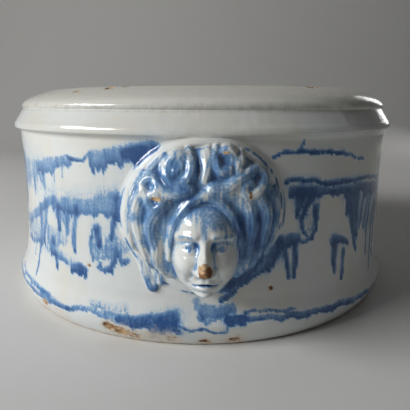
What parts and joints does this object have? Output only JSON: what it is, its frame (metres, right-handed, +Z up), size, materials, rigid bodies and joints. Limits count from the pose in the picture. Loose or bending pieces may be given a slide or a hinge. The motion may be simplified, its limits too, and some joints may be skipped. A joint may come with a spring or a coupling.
{
  "type": "cachepot",
  "caption": "Round glazed earthenware cachepot with an incurved rim, a beaded shoulder, a flared foot and mask handles, to hold a potted plant.",
  "frame": {"origin": "centre of the pot's standing ring, on the surface that it stands on", "axes": "+Z up along the pot's axis; the front mask faces -Y and the back mask +Y"},
  "size_m": [0.224, 0.268, 0.11],
  "materials": {
    "glazed_body": "gloss",
    "glazed_foot": "gloss",
    "glazed_mask": "gloss",
    "glazed_floor": "gloss"
  },
  "bodies": {
    "root": {"back_mask_curl_left_1": "glazed_mask", "back_mask_curl_left_2": "glazed_mask", "back_mask_curl_left_3": "glazed_mask", "back_mask_curl_right_1": "glazed_mask", "back_mask_curl_right_2": "glazed_mask", "back_mask_curl_right_3": "glazed_mask", "back_mask_face": "glazed_mask", "back_mask_hood": "glazed_mask", "back_mask_tress_left_1": "glazed_mask", "back_mask_tress_left_2": "glazed_mask", "back_mask_tress_left_3": "glazed_mask", "back_mask_tress_right_1": "glazed_mask", "back_mask_tress_right_2": "glazed_mask", "back_mask_tress_right_3": "glazed_mask", "bead_band": "glazed_body", "floor_slab": "glazed_floor", "foot_band": "glazed_foot", "front_mask_curl_left_1": "glazed_mask", "front_mask_curl_left_2": "glazed_mask", "front_mask_curl_left_3": "glazed_mask", "front_mask_curl_right_1": "glazed_mask", "front_mask_curl_right_2": "glazed_mask", "front_mask_curl_right_3": "glazed_mask", "front_mask_face": "glazed_mask", "front_mask_hood": "glazed_mask", "front_mask_tress_left_1": "glazed_mask", "front_mask_tress_left_2": "glazed_mask", "front_mask_tress_left_3": "glazed_mask", "front_mask_tress_right_1": "glazed_mask", "front_mask_tress_right_2": "glazed_mask", "front_mask_tress_right_3": "glazed_mask", "rim_collar": "glazed_body", "wall": "glazed_body"}
  },
  "joints": []
}
